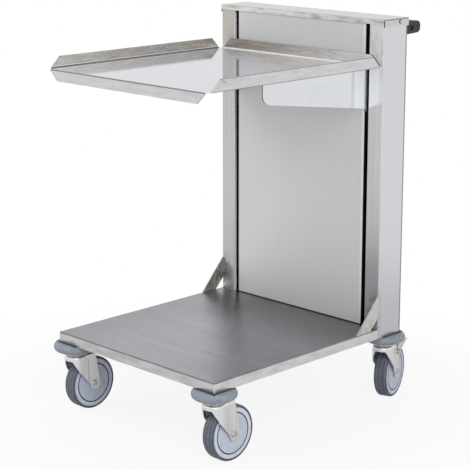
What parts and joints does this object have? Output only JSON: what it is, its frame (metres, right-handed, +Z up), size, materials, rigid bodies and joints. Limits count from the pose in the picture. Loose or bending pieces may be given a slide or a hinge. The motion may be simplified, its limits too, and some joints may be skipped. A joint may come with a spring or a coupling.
{
  "type": "rack dispenser trolley",
  "caption": "Open stainless steel trolley with a spring-lifted tray on two arms that rise through slots in a rear column, on braked swivel castors with bumper discs.",
  "frame": {"origin": "on the floor, at the middle of the overall box from the front bumpers to the rear wheels", "axes": "+Z up, +Y towards the column and the handle, +X to the right seen from the loading side"},
  "size_m": [0.56, 0.7111, 0.91],
  "materials": {
    "deck_steel": "brushed",
    "column_steel": "brushed",
    "panel_steel": "brushed",
    "tray_steel": "polished",
    "arm_steel": "polished",
    "guide_steel": "mill",
    "fastener_steel": "bright",
    "spring_steel": "drawn",
    "fork_steel": "bright",
    "pedal_steel": "bright",
    "bumper_plastic": "moulded",
    "wheel_plastic": "moulded",
    "tyre_rubber": "moulded",
    "handle_plastic": "grained",
    "roller_plastic": "turned",
    "buffer_rubber": "moulded"
  },
  "bodies": {
    "frame": {"base_deck": "deck_steel", "upright_left": "column_steel", "upright_right": "column_steel", "front_panel": "panel_steel", "rear_cover": "column_steel", "rear_cover_screws": "fastener_steel", "top_cap": "column_steel", "cap_rivets": "fastener_steel", "gusset_left": "column_steel", "gusset_right": "column_steel", "guide_rail_left": "guide_steel", "guide_rail_right": "guide_steel", "head_crossmember": "guide_steel", "spring_anchor_bar": "guide_steel", "tension_springs": "spring_steel", "upper_stop_buffers": "buffer_rubber", "lower_stop_buffers": "buffer_rubber", "handle_bar": "handle_plastic", "handle_bracket_left": "handle_plastic", "handle_bracket_right": "handle_plastic", "handle_screws": "fastener_steel", "bumper_discs": "bumper_plastic", "castor_plates": "guide_steel", "swivel_heads": "fork_steel", "kingpins": "fastener_steel", "kingpin_nuts": "fastener_steel"},
    "carriage": {"platform_tray": "tray_steel", "carriage_arm_left": "arm_steel", "carriage_arm_right": "arm_steel", "tray_studs": "fastener_steel", "carriage_tie": "guide_steel", "spring_pull_bar": "guide_steel", "roller_pins": "fastener_steel"},
    "roller_upper_left": {"guide_roller_upper_left": "roller_plastic"},
    "roller_lower_left": {"guide_roller_lower_left": "roller_plastic"},
    "roller_upper_right": {"guide_roller_upper_right": "roller_plastic"},
    "roller_lower_right": {"guide_roller_lower_right": "roller_plastic"},
    "castor_front_left": {"castor_fork_front_left": "fork_steel", "castor_axle_front_left": "fastener_steel"},
    "wheel_front_left": {"wheel_hub_front_left": "wheel_plastic", "wheel_tyre_front_left": "tyre_rubber"},
    "castor_front_right": {"castor_fork_front_right": "fork_steel", "castor_axle_front_right": "fastener_steel"},
    "wheel_front_right": {"wheel_hub_front_right": "wheel_plastic", "wheel_tyre_front_right": "tyre_rubber"},
    "castor_rear_left": {"castor_fork_rear_left": "fork_steel", "castor_axle_rear_left": "fastener_steel", "brake_pins_rear_left": "fastener_steel"},
    "wheel_rear_left": {"wheel_hub_rear_left": "wheel_plastic", "wheel_tyre_rear_left": "tyre_rubber"},
    "pedal_rear_left": {"brake_pedal_rear_left": "pedal_steel"},
    "castor_rear_right": {"castor_fork_rear_right": "fork_steel", "castor_axle_rear_right": "fastener_steel", "brake_pins_rear_right": "fastener_steel"},
    "wheel_rear_right": {"wheel_hub_rear_right": "wheel_plastic", "wheel_tyre_rear_right": "tyre_rubber"},
    "pedal_rear_right": {"brake_pedal_rear_right": "pedal_steel"}
  },
  "joints": [
    {"name": "platform_lift", "type": "slide", "parent": "frame", "child": "carriage", "axis": [0, 0, 1], "range_m": [-0.45, 0], "stiffness_N_per_m": 900, "springref_m": 0.13, "deforming": ["tension_springs"]},
    {"name": "roller_upper_left_spin", "type": "hinge", "parent": "carriage", "child": "roller_upper_left", "pos_m": [-0.238, 0.24024, 0.8502], "axis": [1, 0, 0], "range_deg": [-1361, 3]},
    {"name": "roller_lower_left_spin", "type": "hinge", "parent": "carriage", "child": "roller_lower_left", "pos_m": [-0.238, 0.24164, 0.6833], "axis": [1, 0, 0], "range_deg": [-3, 1361]},
    {"name": "roller_upper_right_spin", "type": "hinge", "parent": "carriage", "child": "roller_upper_right", "pos_m": [0.238, 0.24024, 0.8502], "axis": [1, 0, 0], "range_deg": [-1361, 3]},
    {"name": "roller_lower_right_spin", "type": "hinge", "parent": "carriage", "child": "roller_lower_right", "pos_m": [0.238, 0.24164, 0.6833], "axis": [1, 0, 0], "range_deg": [-3, 1361]},
    {"name": "castor_front_left_swivel", "type": "hinge", "parent": "frame", "child": "castor_front_left", "pos_m": [-0.23, -0.30556, 0.1387], "axis": [0, 0, 1], "continuous": true},
    {"name": "wheel_front_left_spin", "type": "hinge", "parent": "castor_front_left", "child": "wheel_front_left", "pos_m": [-0.23, -0.26556, 0.0625], "axis": [1, 0, 0], "continuous": true},
    {"name": "castor_front_right_swivel", "type": "hinge", "parent": "frame", "child": "castor_front_right", "pos_m": [0.23, -0.30556, 0.1387], "axis": [0, 0, 1], "continuous": true},
    {"name": "wheel_front_right_spin", "type": "hinge", "parent": "castor_front_right", "child": "wheel_front_right", "pos_m": [0.23, -0.26556, 0.0625], "axis": [1, 0, 0], "continuous": true},
    {"name": "castor_rear_left_swivel", "type": "hinge", "parent": "frame", "child": "castor_rear_left", "pos_m": [-0.23, 0.25444, 0.1387], "axis": [0, 0, 1], "continuous": true},
    {"name": "wheel_rear_left_spin", "type": "hinge", "parent": "castor_rear_left", "child": "wheel_rear_left", "pos_m": [-0.21764, 0.29248, 0.0625], "axis": [0.9511, -0.309, 0], "continuous": true},
    {"name": "pedal_rear_left_press", "type": "hinge", "parent": "castor_rear_left", "child": "pedal_rear_left", "pos_m": [-0.2164, 0.29628, 0.112], "axis": [0.9511, -0.309, 0], "range_deg": [-10, 0]},
    {"name": "castor_rear_right_swivel", "type": "hinge", "parent": "frame", "child": "castor_rear_right", "pos_m": [0.23, 0.25444, 0.1387], "axis": [0, 0, 1], "continuous": true},
    {"name": "wheel_rear_right_spin", "type": "hinge", "parent": "castor_rear_right", "child": "wheel_rear_right", "pos_m": [0.21764, 0.29248, 0.0625], "axis": [0.9511, 0.309, 0], "continuous": true},
    {"name": "pedal_rear_right_press", "type": "hinge", "parent": "castor_rear_right", "child": "pedal_rear_right", "pos_m": [0.2164, 0.29628, 0.112], "axis": [0.9511, 0.309, 0], "range_deg": [-10, 0]}
  ],
  "couplings": [
    {"joint": "roller_upper_left_spin", "follows": "platform_lift", "rad_per_m": 52.632},
    {"joint": "roller_lower_left_spin", "follows": "platform_lift", "rad_per_m": -52.632},
    {"joint": "roller_upper_right_spin", "follows": "platform_lift", "rad_per_m": 52.632},
    {"joint": "roller_lower_right_spin", "follows": "platform_lift", "rad_per_m": -52.632}
  ]
}
